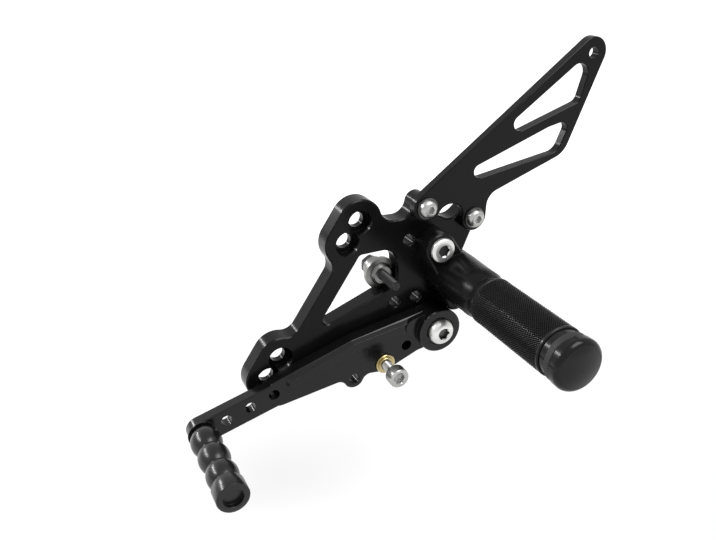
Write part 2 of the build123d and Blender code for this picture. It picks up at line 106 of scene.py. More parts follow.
def newGroup(name, inputs, outputs):
    tree = bpy.data.node_groups.new(name, "ShaderNodeTree")
    for label, start in inputs.items():
        socket = tree.interface.new_socket(label, in_out="INPUT", socket_type="NodeSocketFloat")
        socket.default_value = start
    for label, kind in outputs.items():
        tree.interface.new_socket(label, in_out="OUTPUT", socket_type=kind)
    return tree, addNode(tree, "NodeGroupInput", -1000, 0), addNode(tree, "NodeGroupOutput", 600, 0)


def useGroup(tree, group, x, y, **values):
    node = addNode(tree, "ShaderNodeGroup", x, y, node_tree=group)
    for label, value in values.items():
        node.inputs[label].default_value = value
    return node


def newMaterial(name):
    material = bpy.data.materials.new(name)
    material.use_nodes = True
    tree = material.node_tree
    return material, tree, tree.nodes["Principled BSDF"]


# bead-blasted surface under the anodising: a fine grain and slow clouds
blastDetail = {"Grain": 2.0, "Cloud": 4.0}


def makeBlastGrain():
    tree, source, sink = newGroup(
        "blastGrain", {"Grain Size": 0.35, "Cloud Size": 18.0},
        {"Grain": "NodeSocketFloat", "Cloud": "NodeSocketFloat"})
    coords = addNode(tree, "ShaderNodeTexCoord", -1000, -260)
    for label, row in (("Grain", 200), ("Cloud", -200)):
        scale = calc(tree, "DIVIDE", -700, row, perMetre, source.outputs[label + " Size"])
        noise = addNode(tree, "ShaderNodeTexNoise", -400, row)
        noise.inputs["Detail"].default_value = blastDetail[label]
        join(tree, coords.outputs["Object"], noise.inputs["Vector"])
        join(tree, scale, noise.inputs["Scale"])
        join(tree, noise.outputs["Fac"], sink.inputs[label])
    return tree


# distance from an axis that runs along Y, and the place along it
def fromAxis(tree, source):
    coords = addNode(tree, "ShaderNodeTexCoord", -1000, -300)
    split = addNode(tree, "ShaderNodeSeparateXYZ", -800, -300)
    join(tree, coords.outputs["Object"], split.inputs[0])
    squares = []
    for letter, row in (("X", 100), ("Z", -100)):
        centre = source.outputs["Axis " + letter]
        across = calc(tree, "SUBTRACT", -600, row, split.outputs[letter], centre)
        squares.append(calc(tree, "POWER", -430, row, across, 2.0))
    distance = calc(tree, "SQRT", -100, 0, calc(tree, "ADD", -260, 0, *squares))
    return distance, split.outputs["Y"]


# tool marks left by a lathe
def makeTurnedRings():
    tree, source, sink = newGroup(
        "turnedRings", {"Axis X": 0.0, "Axis Z": 0.0, "Feed": 0.12}, {"Rings": "NodeSocketFloat"})
    travel = calc(tree, "ADD", 60, 0, *fromAxis(tree, source))
    perFeed = calc(tree, "DIVIDE", 60, 200, perMetre, source.outputs["Feed"])
    noise = addNode(tree, "ShaderNodeTexNoise", 380, 0, noise_dimensions="1D")
    noise.inputs["Detail"].default_value = 1.0
    noise.inputs["Scale"].default_value = 1.0
    join(tree, calc(tree, "MULTIPLY", 220, 0, travel, perFeed), noise.inputs["W"])
    join(tree, noise.outputs["Fac"], sink.inputs["Rings"])
    return tree


# corners rubbed by boots and spanners, with a softened normal for the glints
edgeWear = {
    "samples": 6, "flat": 0.995, "corner": 0.90, "detail": 4.0, "patch": (0.42, 0.62), "least": 0.15,
}


def makeRubbedEdges():
    tree, source, sink = newGroup(
        "rubbedEdges", {"Width": 0.3, "Patch Size": 4.0},
        {"Rub": "NodeSocketFloat", "Soft Normal": "NodeSocketVector"})
    bevel = addNode(tree, "ShaderNodeBevel", -600, 200, samples=edgeWear["samples"])
    join(tree, calc(tree, "MULTIPLY", -800, 200, source.outputs["Width"], mm), bevel.inputs["Radius"])
    shape = addNode(tree, "ShaderNodeNewGeometry", -600, 0)
    facing = addNode(tree, "ShaderNodeVectorMath", -400, 100, operation="DOT_PRODUCT")
    join(tree, bevel.outputs[0], facing.inputs[0])
    join(tree, shape.outputs["Normal"], facing.inputs[1])
    corner = remap(tree, facing.outputs["Value"], edgeWear["flat"], edgeWear["corner"], 0.0, 1.0,
                   -220, 100)
    coords = addNode(tree, "ShaderNodeTexCoord", -800, -300)
    noise = addNode(tree, "ShaderNodeTexNoise", -400, -300)
    noise.inputs["Detail"].default_value = edgeWear["detail"]
    join(tree, coords.outputs["Object"], noise.inputs["Vector"])
    scale = calc(tree, "DIVIDE", -600, -300, perMetre, source.outputs["Patch Size"])
    join(tree, scale, noise.inputs["Scale"])
    patch = remap(tree, noise.outputs["Fac"], *edgeWear["patch"], edgeWear["least"], 1.0, -220, -300)
    join(tree, calc(tree, "MULTIPLY", 0, 0, corner, patch), sink.inputs["Rub"])
    join(tree, bevel.outputs[0], sink.inputs["Soft Normal"])
    return tree


# height above the valleys of the knurl, from the distance to the peg's axis
def makeKnurlTops():
    tree, source, sink = newGroup(
        "knurlTops", {"Axis X": 0.0, "Axis Z": 0.0, "Valley": 0.0131, "Top": 0.0135},
        {"Height": "NodeSocketFloat"})
    height = addNode(tree, "ShaderNodeMapRange", 200, 0)
    join(tree, fromAxis(tree, source)[0], height.inputs["Value"])
    join(tree, source.outputs["Valley"], height.inputs["From Min"])
    join(tree, source.outputs["Top"], height.inputs["From Max"])
    join(tree, height.outputs[0], sink.inputs["Height"])
    return tree


blastGrain = makeBlastGrain()
turnedRings = makeTurnedRings()
knurlTops = makeKnurlTops()
rubbedEdges = makeRubbedEdges()
print("shader groups ready:", ", ".join(group.name for group in bpy.data.node_groups))


# what every finish does with the groups
noiseSpan = (0.3, 0.7)  # most of a noise lies between these


def addGrain(tree, look):
    return useGroup(tree, blastGrain, -900, 300,
                    **{"Grain Size": look["grainSize"], "Cloud Size": look["cloudSize"]})


def addRings(tree, axis, look):
    return useGroup(tree, turnedRings, -900, -400,
                    **{"Axis X": axis[0], "Axis Z": axis[1], "Feed": look["feed"]})


def paint(tree, skin, factor, low, high):
    join(tree, tint(tree, factor, low, high, -300, 300), skin.inputs["Base Color"])


def roughen(tree, skin, value, span, rough):
    join(tree, remap(tree, value, *span, *rough, -300, 60), skin.inputs["Roughness"])


def addBump(tree, skin, height, look, normal=None):
    bump = addNode(tree, "ShaderNodeBump", -300, -260)
    bump.inputs["Strength"].default_value = look["bump"]
    bump.inputs["Distance"].default_value = look["lift"]
    join(tree, height, bump.inputs["Height"])
    if normal:
        join(tree, normal, bump.inputs["Normal"])
    join(tree, bump.outputs[0], skin.inputs["Normal"])


# black anodised finish of the plates and the turned parts
blackFinish = {
    "deep": (0.0030, 0.0030, 0.0032), "paler": (0.0058, 0.0058, 0.0060), "rub": (0.030, 0.030, 0.031),
    "rubShare": 0.6, "edgeWidth": 0.3, "patchSize": 5.0, "grainSize": 0.3, "cloudSize": 22.0,
    "feed": 0.14, "bump": 0.35, "lift": 0.006 * mm,
}
plateRough = (0.17, 0.25)


def blackAnodised(name, specular, rough, axis=None):
    look = blackFinish
    material, tree, skin = newMaterial(name)
    grain = addGrain(tree, look)
    edges = useGroup(tree, rubbedEdges, -900, -100,
                     **{"Width": look["edgeWidth"], "Patch Size": look["patchSize"]})
    body = tint(tree, grain.outputs["Cloud"], look["deep"], look["paler"], -600, 300)
    rub = calc(tree, "MULTIPLY", -600, 60, edges.outputs["Rub"], look["rubShare"])
    paint(tree, skin, rub, body, look["rub"])
    roughen(tree, skin, grain.outputs["Cloud"], noiseSpan, rough)
    skin.inputs["Specular IOR Level"].default_value = specular
    height = grain.outputs["Grain"]
    if axis:
        height = calc(tree, "ADD", -600, -300, addRings(tree, axis, look).outputs["Rings"], height)
    addBump(tree, skin, height, look, edges.outputs["Soft Normal"])
    return material


# bare metals: turned screws and washers, brass, bronze
metals = {
    "steel": {"low": (0.32, 0.32, 0.315), "high": (0.48, 0.48, 0.47), "rough": (0.26, 0.40)},
    "headSteel": {"low": (0.56, 0.56, 0.55), "high": (0.78, 0.78, 0.77), "rough": (0.34, 0.48)},
    "dullSteel": {"low": (0.07, 0.07, 0.07), "high": (0.13, 0.13, 0.128), "rough": (0.34, 0.48)},
    "collar": {"low": (0.16, 0.16, 0.157), "high": (0.26, 0.26, 0.255), "rough": (0.28, 0.44)},
    "brass": {"low": (0.36, 0.29, 0.14), "high": (0.56, 0.48, 0.27), "rough": (0.22, 0.36)},
    "bronze": {"low": (0.30, 0.17, 0.07), "high": (0.46, 0.28, 0.13), "rough": (0.30, 0.46)},
}
turnedFinish = {
    "feed": 0.09, "grainSize": 0.25, "cloudSize": 3.5, "ringSpan": (0.25, 0.75),
    "bump": 0.3, "lift": 0.006 * mm,
}


def turnedMetal(name, metal, axis):
    look = metals[metal]
    material, tree, skin = newMaterial(name)
    grain = addGrain(tree, turnedFinish)
    rings = addRings(tree, axis, turnedFinish)
    paint(tree, skin, grain.outputs["Cloud"], look["low"], look["high"])
    roughen(tree, skin, rings.outputs["Rings"], turnedFinish["ringSpan"], look["rough"])
    skin.inputs["Metallic"].default_value = 1.0
    addBump(tree, skin, rings.outputs["Rings"], turnedFinish)
    return material


# black oxide on the stud, its nut and the toe peg's screw
oxideFinish = {
    "low": (0.012, 0.012, 0.013), "high": (0.034, 0.033, 0.032), "rough": (0.32, 0.5), "metallic": 0.6,
    "grainSize": 0.2, "cloudSize": 2.5,
}


def blackSteel(name):
    look = oxideFinish
    material, tree, skin = newMaterial(name)
    grain = addGrain(tree, look)
    paint(tree, skin, grain.outputs["Cloud"], look["low"], look["high"])
    roughen(tree, skin, grain.outputs["Grain"], noiseSpan, look["rough"])
    skin.inputs["Metallic"].default_value = look["metallic"]
    return material


# rubber of the ring in the peg's cap
rubberFinish = {
    "low": (0.003, 0.003, 0.003), "high": (0.008, 0.008, 0.008), "rough": (0.62, 0.8),
    "grainSize": 0.5, "cloudSize": 6.0, "bump": 0.5, "lift": 0.03 * mm,
}


def blackRubber(name):
    look = rubberFinish
    material, tree, skin = newMaterial(name)
    grain = addGrain(tree, look)
    paint(tree, skin, grain.outputs["Cloud"], look["low"], look["high"])
    roughen(tree, skin, grain.outputs["Grain"], noiseSpan, look["rough"])
    addBump(tree, skin, grain.outputs["Grain"], look)
    return material


# the knurl is dull in its valleys and worn bright on its points; the darker colour down in the valleys is
# painted shade
knurlFinish = {
    "low": (0.0012, 0.0012, 0.0013), "high": (0.022, 0.022, 0.0225), "rough": (0.62, 0.20),
    "specular": 0.2, "grainSize": 0.4, "cloudSize": 9.0, "pointPower": 2.0,
}


def knurledBlack(name, axis, valley, top):
    look = knurlFinish
    material, tree, skin = newMaterial(name)
    tops = useGroup(tree, knurlTops, -900, 0,
                    **{"Axis X": axis[0], "Axis Z": axis[1], "Valley": valley, "Top": top})
    height = tops.outputs["Height"]
    point = calc(tree, "POWER", -600, 0, height, look["pointPower"])
    # painted shade and wear: this colour factor darkens the valleys, where shade falls, and lightens the
    # worn points
    paler = calc(tree, "MULTIPLY", -400, 200, point, addGrain(tree, look).outputs["Cloud"])
    paint(tree, skin, paler, look["low"], look["high"])
    roughen(tree, skin, height, (0.0, 1.0), look["rough"])
    skin.inputs["Specular IOR Level"].default_value = look["specular"]
    return material


# where the turned pieces have their axes, from the boxes of the nodes
def axisOf(node):
    low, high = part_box(node)
    return ((low.x + high.x) / 2, (low.z + high.z) / 2)


def dress(node, material):
    mesh = nodes[node].data
    mesh.materials.clear()
    mesh.materials.append(material)
    mesh.polygons.foreach_set("material_index", [0] * len(mesh.polygons))


pegAxis = axisOf("peg_grip")
pivotAxis = axisOf("pivot_sleeve")
toeAxis = axisOf("toe_screw")
carrierAxis = axisOf("carrier_washer")
rodAxis = axisOf("rod_spacer")
studAxis = axisOf("stud")

plateBlack = blackAnodised("plateBlack", 0.12, plateRough)
carrierBlack = blackAnodised("carrierBlack", 0.12, (0.24, 0.32), pegAxis)
leverBlack = blackAnodised("leverBlack", 0.27, plateRough)
turnedPeg = blackAnodised("turnedPeg", 0.19, (0.16, 0.24), pegAxis)
turnedToe = blackAnodised("turnedToe", 0.36, (0.22, 0.30), toeAxis)
carrierSteel = turnedMetal("carrierSteel", "headSteel", carrierAxis)
pivotSteel = turnedMetal("pivotSteel", "headSteel", pivotAxis)
spacerBrass = turnedMetal("spacerBrass", "brass", rodAxis)
oxideSteel = blackSteel("oxideSteel")

for node, material in (
    ("base_plate", plateBlack), ("heel_guard", plateBlack), ("gear_lever", leverBlack),
    ("peg_carrier", carrierBlack), ("peg_cap", turnedPeg), ("toe_peg", turnedToe),
    ("peg_ring", blackRubber("ringRubber")),
    ("carrier_bolt", carrierSteel), ("pivot_bolt", pivotSteel), ("pivot_sleeve", pivotSteel),
    ("thrust_washer", pivotSteel), ("rod_spacer", spacerBrass), ("toe_screw", oxideSteel),
    ("carrier_washer", turnedMetal("carrierWasherSteel", "dullSteel", carrierAxis)),
    ("pivot_washer", turnedMetal("pivotWasherSteel", "dullSteel", pivotAxis)),
    ("peg_bolt", turnedMetal("pegBoltSteel", "steel", pegAxis)),
    ("carrier_screw", turnedMetal("carrierScrewSteel", "steel", axisOf("carrier_screw"))),
    ("guard_bolts", turnedMetal("guardSteel", "steel", axisOf("guard_bolts"))),
    ("guard_washers", turnedMetal("guardWasherSteel", "dullSteel", axisOf("guard_washers"))),
    ("stud_collar", turnedMetal("collarSteel", "collar", studAxis)),
    ("lever_bush", turnedMetal("bushBronze", "bronze", pivotAxis)),
):
    dress(node, material)
print("finishes on", len(nodes), "nodes")


# turned and threaded pieces are drawn ring by ring round an axis along Y
def polar(axis, radius, angle, y):
    return (axis[0] + radius * cos(angle), y, axis[1] + radius * sin(angle))


def addRing(bm, axis, steps, shape):
    ring = []
    for step in range(steps):
        angle = 2 * pi * step / steps
        radius, y = shape(angle)
        ring.append(bm.verts.new(polar(axis, radius, angle, y)))
    return ring


def plainRing(radius, y):
    return lambda angle: (radius, y)


def addRun(bm, axis, steps, profile):
    return [addRing(bm, axis, steps, plainRing(radius, y)) for radius, y in profile]


def hexReach(flat, angle):
    return flat / cos(angle % (pi / 3) - pi / 6)


def hexagon(flat, y):
    return lambda angle: (hexReach(flat, angle), y)


def bridge(bm, first, second, smooth=True):
    count = len(first)
    for step in range(count):
        after = (step + 1) % count
        face = bm.faces.new((first[step], first[after], second[after], second[step]))
        face.smooth = smooth


def bridgeAll(bm, rings, closed=False):
    for first, second in zip(rings, rings[1:]):
        bridge(bm, first, second)
    if closed:
        bridge(bm, rings[-1], rings[0])


def closeToPoint(bm, ring, axis, y):
    point = bm.verts.new((axis[0], y, axis[1]))
    for step in range(len(ring)):
        bm.faces.new((ring[step], ring[(step + 1) % len(ring)], point))


def finishPiece(bm, name, material, body, replaced, sharp):
    bmesh.ops.recalc_face_normals(bm, faces=bm.faces[:])
    mesh = bpy.data.meshes.new(name)
    bm.to_mesh(mesh)
    bm.free()
    mesh.set_sharp_from_angle(angle=radians(sharp))
    mesh.materials.append(material)
    piece = bpy.data.objects.new(name, mesh)
    scene.collection.objects.link(piece)
    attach(piece, body)
    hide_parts(*replaced)
    print("piece", name, len(mesh.polygons), "faces")
    return piece


# knurled sleeve of the foot peg
gripSetup = {
    "columns": 64, "rowPitch": 1.55 * mm, "depth": 0.55 * mm, "flatTop": 0.26, "sharp": 20,
    "noseLength": 3.5 * mm, "noseRadius": 12.0 * mm, "band": 0.7 * mm, "slope": 0.5 * mm,
    "edge": 0.6 * mm, "boreRadius": 4.4 * mm, "spigotRadius": 8.05 * mm, "spigotDepth": 10.3 * mm,
    "pocketRadius": 9.0 * mm, "pocketDepth": 16.0 * mm,
}


def buildGrip():
    low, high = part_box("peg_grip")
    setup = gripSetup
    radius = (high.x - low.x) / 2
    start, end = high.y, low.y  # the grip runs outboard, towards -Y
    valley = radius - setup["depth"]
    knurlStart = start - setup["noseLength"] - setup["band"] - setup["slope"]
    knurlEnd = end + setup["edge"] + setup["band"] + setup["slope"]
    rows = 2 * round((knurlStart - knurlEnd) / setup["rowPitch"])
    columns = 2 * setup["columns"]
    bm = bmesh.new()
    lattice = {}

    def onGrip(reach, column, row):
        y = knurlStart + (knurlEnd - knurlStart) * row / rows
        return bm.verts.new(polar(pegAxis, reach, 2 * pi * column / columns, y))

    def corner(column, row):
        key = (column % columns, row)
        if key not in lattice:
            lattice[key] = onGrip(valley, *key)
        return lattice[key]

    for row in range(rows + 1):
        for column in range(row % 2, columns, 2):
            left, lower = (column - 1, row), (column, row - 1)
            right, upper = (column + 1, row), (column, row + 1)
            if row == 0:
                bm.faces.new([corner(*spot) for spot in (left, right, upper)])
                continue
            if row == rows:
                bm.faces.new([corner(*spot) for spot in (left, lower, right)])
                continue
            around = (left, lower, right, upper)
            base = [corner(*spot) for spot in around]
            top = [onGrip(radius, column + setup["flatTop"] * (spot[0] - column),
                          row + setup["flatTop"] * (spot[1] - row)) for spot in around]
            bridge(bm, base, top, smooth=False)
            bm.faces.new(top)

    # smooth nose, end band and bores join the first and last rows of valleys
    def turnedRun(row, profile):
        first = 1 - row % 2
        spots = range(first, columns, 2)
        ring = [corner(column, row) for column in spots]
        for reach, y in profile:
            nextRing = [bm.verts.new(polar(pegAxis, reach, 2 * pi * column / columns, y))
                        for column in spots]
            bridge(bm, ring, nextRing)
            ring = nextRing
        return ring

    innerFront = turnedRun(0, [
        (radius, knurlStart + setup["slope"]), (radius, start - setup["noseLength"]),
        (setup["noseRadius"], start), (setup["spigotRadius"], start),
        (setup["spigotRadius"], start - setup["spigotDepth"]),
        (setup["boreRadius"], start - setup["spigotDepth"])])
    innerBack = turnedRun(rows, [
        (radius, knurlEnd - setup["slope"]), (radius, end + setup["edge"]), (radius - setup["edge"], end),
        (setup["pocketRadius"], end), (setup["pocketRadius"], end + setup["pocketDepth"]),
        (setup["boreRadius"], end + setup["pocketDepth"])])
    bridge(bm, innerFront, innerBack)
    gripBlack = knurledBlack("knurledBlack", pegAxis, valley, radius)
    finishPiece(bm, "knurledGrip", gripBlack, "base", ["peg_grip"], setup["sharp"])


buildGrip()


# screw threads, as a ridge that climbs with the angle
threadSetup = {"pitch": 1.0 * mm, "depth": 0.58 * mm, "rowsPerTurn": 6, "flank": 1.25}


def threadRings(bm, axis, steps, major, start, end):
    setup = threadSetup
    count = max(2, round(abs(end - start) / setup["pitch"] * setup["rowsPerTurn"]))
    crest = (setup["flank"] - 1) / 2  # flat share at the top and the foot of the ridge

    def threaded(y):
        def shape(angle):
            turn = (y / setup["pitch"] + angle / (2 * pi)) % 1.0
            cut = setup["flank"] * abs(2 * turn - 1) - crest
            return major - setup["depth"] * min(1.0, max(0.0, cut)), y
        return shape

    return [addRing(bm, axis, steps, threaded(start + (end - start) * row / count))
            for row in range(count + 1)]


# stud that stands out of the window's collar
studSetup = {"steps": 24, "chamfer": 0.75 * mm, "dimple": 0.8 * mm, "dimpleDepth": 0.4 * mm, "sharp": 35}


def buildStud():
    low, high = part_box("stud")
    setup = studSetup
    steps, chamfer = setup["steps"], setup["chamfer"]
    major = (high.x - low.x) / 2
    core = major - threadSetup["depth"]
    bm = bmesh.new()
    rings = addRun(bm, studAxis, steps, [(core, high.y)])
    rings += threadRings(bm, studAxis, steps, major, high.y - chamfer, low.y + chamfer)
    rings += addRun(bm, studAxis, steps, [(core, low.y), (setup["dimple"], low.y)])
    bridgeAll(bm, rings)
    bm.faces.new(rings[0])
    closeToPoint(bm, rings[-1], studAxis, low.y + setup["dimpleDepth"])
    finishPiece(bm, "threadedStud", oxideSteel, "base", ["stud"], setup["sharp"])


# hexagon nut behind the collar, with chamfered corners on both faces
nutSetup = {
    "steps": 48, "faceShare": 0.95, "slope": 30.0, "thread": 2.95 * mm, "mouth": 3.35 * mm, "sharp": 25,
}


def buildNut():
    low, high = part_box("stud_nut")
    setup = nutSetup
    flat = min(high.x - low.x, high.z - low.z) / 2
    face = setup["faceShare"] * flat
    rise = tan(radians(setup["slope"]))
    turn = 0.0 if high.x - low.x < high.z - low.z else pi / 6

    def corners(y, way):
        def shape(angle):
            reach = hexReach(flat, angle + turn)
            return reach, y + way * (reach - face) * rise
        return shape

    bm = bmesh.new()
    rings = addRun(bm, studAxis, setup["steps"],
                   [(setup["thread"], high.y), (setup["mouth"], high.y), (face, high.y)])
    for shape in (corners(high.y, -1), corners(low.y, 1)):
        rings.append(addRing(bm, studAxis, setup["steps"], shape))
    rings += addRun(bm, studAxis, setup["steps"],
                    [(face, low.y), (setup["mouth"], low.y), (setup["thread"], low.y)])
    bridgeAll(bm, rings, closed=True)
    finishPiece(bm, "chamferedNut", oxideSteel, "base", ["stud_nut"], setup["sharp"])


buildStud()
buildNut()


# socket screw that carries the gearbox rod
rodSetup = {
    "steps": 72, "headHeight": 6.4 * mm, "headRadius": 5.8 * mm, "headOut": 1.2 * mm,
    "underEdge": 0.3 * mm, "flute": 0.16 * mm, "fluteEnd": 0.8 * mm,
    "shankRadius": 2.9 * mm, "tipLength": 0.6 * mm,
    "rounding": [(0.175, 0.45), (0.5, 0.075), (0.75, 0.0)],  # inset and drop of the head's rim, mm
    "socket": 2.9 * mm, "socketRim": 3.65 * mm, "socketLead": 0.45 * mm, "socketDepth": 3.2 * mm,
    "drillPoint": 0.8 * mm, "sharp": 28,
}


def buildRodScrew():
    low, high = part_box("rod_screw")
    setup = rodSetup
    steps, radius = setup["steps"], setup["headRadius"]
    tipY, topY = high.y, low.y - setup["headOut"]
    headY = topY + setup["headHeight"]
    floorY = topY + setup["socketDepth"]

    def fluted(y):
        def shape(angle):
            groove = round(angle * steps / (2 * pi)) % 2
            return radius - groove * setup["flute"], y
        return shape

    bm = bmesh.new()
    rings = addRun(bm, rodAxis, steps, [(setup["shankRadius"] - threadSetup["depth"], tipY)])
    rings += threadRings(bm, rodAxis, steps, setup["shankRadius"], tipY - setup["tipLength"], headY)
    shapes = [plainRing(radius - setup["underEdge"], headY), fluted(headY - setup["underEdge"]),
              fluted(topY + setup["fluteEnd"])]
    shapes += [plainRing(radius - inset * mm, topY + drop * mm) for inset, drop in setup["rounding"]]
    shapes += [plainRing(setup["socketRim"], topY), hexagon(setup["socket"], topY + setup["socketLead"]),
               hexagon(setup["socket"], floorY)]
    rings += [addRing(bm, rodAxis, steps, shape) for shape in shapes]
    bridgeAll(bm, rings)
    bm.faces.new(rings[0])
    closeToPoint(bm, rings[-1], rodAxis, floorY + setup["drillPoint"])
    rodSteel = turnedMetal("rodSteel", "steel", rodAxis)
    finishPiece(bm, "rodSocketScrew", rodSteel, "lever", ["rod_screw"], setup["sharp"])


buildRodScrew()


# brass spacer under the rod's eye, with a step turned on its outer face
spacerSetup = {
    "steps": 72, "bore": 3.2 * mm, "flange": 5.8 * mm, "step": 4.7 * mm, "stepAt": 0.55,
    "edge": 0.25 * mm, "sharp": 30,
}


def buildSpacer():
    low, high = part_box("rod_spacer")
    setup = spacerSetup
    bore, flange, step, edge = (setup[key] for key in ("bore", "flange", "step", "edge"))
    backY, topY = high.y, low.y
    stepY = backY + (topY - backY) * setup["stepAt"]
    bm = bmesh.new()
    rings = addRun(bm, rodAxis, setup["steps"], [
        (bore, backY), (flange - edge, backY), (flange, backY - edge), (flange, stepY + edge),
        (flange - edge, stepY), (step, stepY), (step, topY + edge), (step - edge, topY), (bore, topY)])
    bridgeAll(bm, rings, closed=True)
    finishPiece(bm, "steppedSpacer", spacerBrass, "lever", ["rod_spacer"], setup["sharp"])


buildSpacer()


# main screw heads: a high dome on the lever pivot and a low one on the peg carrier
headSetup = {
    "pivotHead": {
        "replaces": ["pivot_bolt", "pivot_washer"], "axis": pivotAxis, "steel": pivotSteel,
        "radius": 7.6 * mm, "height": 5.2 * mm, "wall": 1.0 * mm, "flat": 3.9 * mm,
    },
    "carrierHead": {
        "replaces": ["carrier_bolt", "carrier_washer"], "axis": carrierAxis, "steel": carrierSteel,
        "radius": 7.0 * mm, "height": 3.0 * mm, "wall": 1.5 * mm, "flat": 4.4 * mm,
    },
}
headKey = {"steps": 72, "domeSteps": 8, "flat": 3.0 * mm, "lead": 0.6 * mm, "depth": 2.4 * mm,
           "shank": 3.9 * mm, "edge": 0.25 * mm, "sharp": 32}
# painted shade: the hex sockets get a darker steel so they look shaded inside
socketShade = turnedMetal("socketShade", "dullSteel", carrierAxis)


def buildHead(name, setup):
    tipY, seatY = (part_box(node)[1].y for node in setup["replaces"])
    topY = seatY - setup["height"]
    wallY = seatY - setup["wall"]
    profile = [(headKey["shank"], tipY), (headKey["shank"], seatY),
               (setup["radius"] - headKey["edge"], seatY), (setup["radius"], seatY - headKey["edge"])]
    for step in range(headKey["domeSteps"] + 1):
        lean = pi / 2 * step / headKey["domeSteps"]
        reach = setup["flat"] + (setup["radius"] - setup["flat"]) * cos(lean)
        profile.append((reach, wallY + (topY - wallY) * sin(lean)))
    profile.append((headKey["flat"] + headKey["lead"], topY))
    bm = bmesh.new()
    rings = addRun(bm, setup["axis"], headKey["steps"], profile)
    for depth in (headKey["lead"], headKey["depth"]):
        rings.append(addRing(bm, setup["axis"], headKey["steps"], hexagon(headKey["flat"], topY + depth)))
    bridgeAll(bm, rings)
    bm.faces.new(rings[0])
    bm.faces.new(rings[-1])
    # the socket faces take the darker second material, painted shade
    inSocket = set(rings[-1]) | set(rings[-2])
    for face in bm.faces:
        if inSocket.issuperset(face.verts):
            face.material_index = 1
    piece = finishPiece(bm, name, setup["steel"], "base", setup["replaces"], headKey["sharp"])
    piece.data.materials.append(socketShade)


for name, setup in headSetup.items():
    buildHead(name, setup)


# toe peg: three turned bulbs and a flared end with a shallow cup
toeSetup = {
    "steps": 96, "bulbs": 3, "bulbPitch": 14.4 * mm, "bulbRadius": 8.35 * mm, "waist": 5.6 * mm,
    "arcSteps": 14, "collarRadius": 7.9 * mm, "collarLength": 0.7 * mm, "hole": 3.1 * mm,
    "bore": 5.3 * mm, "boreDepth": 11.0 * mm, "cupDepth": 2.6 * mm, "cupFloor": 1.6 * mm,
    "flare": 1.6 * mm, "shoulder": 0.35 * mm, "edge": 0.7 * mm, "edgeBreak": 0.21 * mm, "sharp": 30,
}


def buildToePeg():
    low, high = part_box("toe_peg")
    setup = toeSetup
    hole, bore, edge, edgeBreak = (setup[key] for key in ("hole", "bore", "edge", "edgeBreak"))
    start, end = high.y, low.y
    radius = (high.x - low.x) / 2
    rise = setup["bulbRadius"] - setup["waist"]
    half = setup["bulbPitch"] / 2
    arc = (half * half + rise * rise) / (2 * rise)
    y = start - setup["collarLength"]
    profile = [(hole, start), (setup["collarRadius"], start), (setup["collarRadius"], y)]
    for bulb in range(setup["bulbs"]):
        for step in range(setup["arcSteps"] + 1):
            across = half * (2 * step / setup["arcSteps"] - 1)
            reach = setup["bulbRadius"] - arc + (arc * arc - across * across) ** 0.5
            profile.append((reach, y - half - across))
        y -= setup["bulbPitch"]
    cupY = end + setup["cupDepth"]
    boreY = end + setup["boreDepth"]
    profile += [(radius - edge, y - setup["shoulder"]), (radius, y - setup["flare"]),
                (radius, end + edge), (radius - edgeBreak, end + edgeBreak), (radius - edge, end),
                (bore + edgeBreak, end), (bore, end + edgeBreak), (bore, cupY)]
    bm = bmesh.new()
    rings = addRun(bm, toeAxis, setup["steps"], profile)
    hollow = [rings[0]] + addRun(bm, toeAxis, setup["steps"],
                                 [(hole, boreY), (bore, boreY), (bore, cupY + setup["cupFloor"])])
    for run in (rings, hollow):
        bridgeAll(bm, run)
        bm.faces.new(run[-1])
    finishPiece(bm, "bulbToePeg", turnedToe, "lever", ["toe_peg"], setup["sharp"])


buildToePeg()


# the lever and the carrier are reworked copies of their solids
reworkSetup = {"weld": 0.001 * mm, "sharp": 25}


def rework(node, tools, name, material, body):
    blank = bpy.data.objects.new("reworkBlank", nodes[node].data.copy())
    blank.matrix_world = nodes[node].matrix_world
    scene.collection.objects.link(blank)
    helpers = [blank]
    for how, bm in tools:
        bmesh.ops.recalc_face_normals(bm, faces=bm.faces[:])
        toolMesh = bpy.data.meshes.new("reworkTool")
        bm.to_mesh(toolMesh)
        bm.free()
        tool = bpy.data.objects.new("reworkTool", toolMesh)
        scene.collection.objects.link(tool)
        helpers.append(tool)
        change = blank.modifiers.new("rework", "BOOLEAN")
        change.operation = how
        change.solver = "EXACT"
        change.object = tool
    mesh = bpy.data.meshes.new_from_object(blank.evaluated_get(bpy.context.evaluated_depsgraph_get()))
    for thing in helpers:
        bpy.data.objects.remove(thing)
    if "custom_normal" in mesh.attributes:
        mesh.attributes.remove(mesh.attributes["custom_normal"])
    bm = bmesh.new()
    bm.from_mesh(mesh)
    bmesh.ops.remove_doubles(bm, verts=bm.verts[:], dist=reworkSetup["weld"])
    finishPiece(bm, name, material, body, [node], reworkSetup["sharp"])


def turnedTool(axis, setup):
    bm = bmesh.new()
    profile = [(radius * mm, -out * mm) for radius, out in setup["profile"]]
    bridgeAll(bm, addRun(bm, axis, setup["steps"], profile), closed=True)
    return bm


# the lever's hub stands out as a wide disc, and the boss beside it is lower
# profiles give radius and distance outboard in mm
hubSetup = {
    "steps": 96,
    "profile": [(10.5, 12.15), (12.7, 12.15), (13.2, 12.65), (13.2, 25.88), (12.6, 26.48), (10.5, 26.48)],
}
bossSetup = {"hubRadius": 13.25 * mm, "bossTop": 23.0 * mm, "hubTop": 27.5 * mm, "reach": 32.0 * mm,
             "arcFrom": 96, "arcTo": 264, "arcSteps": 40}


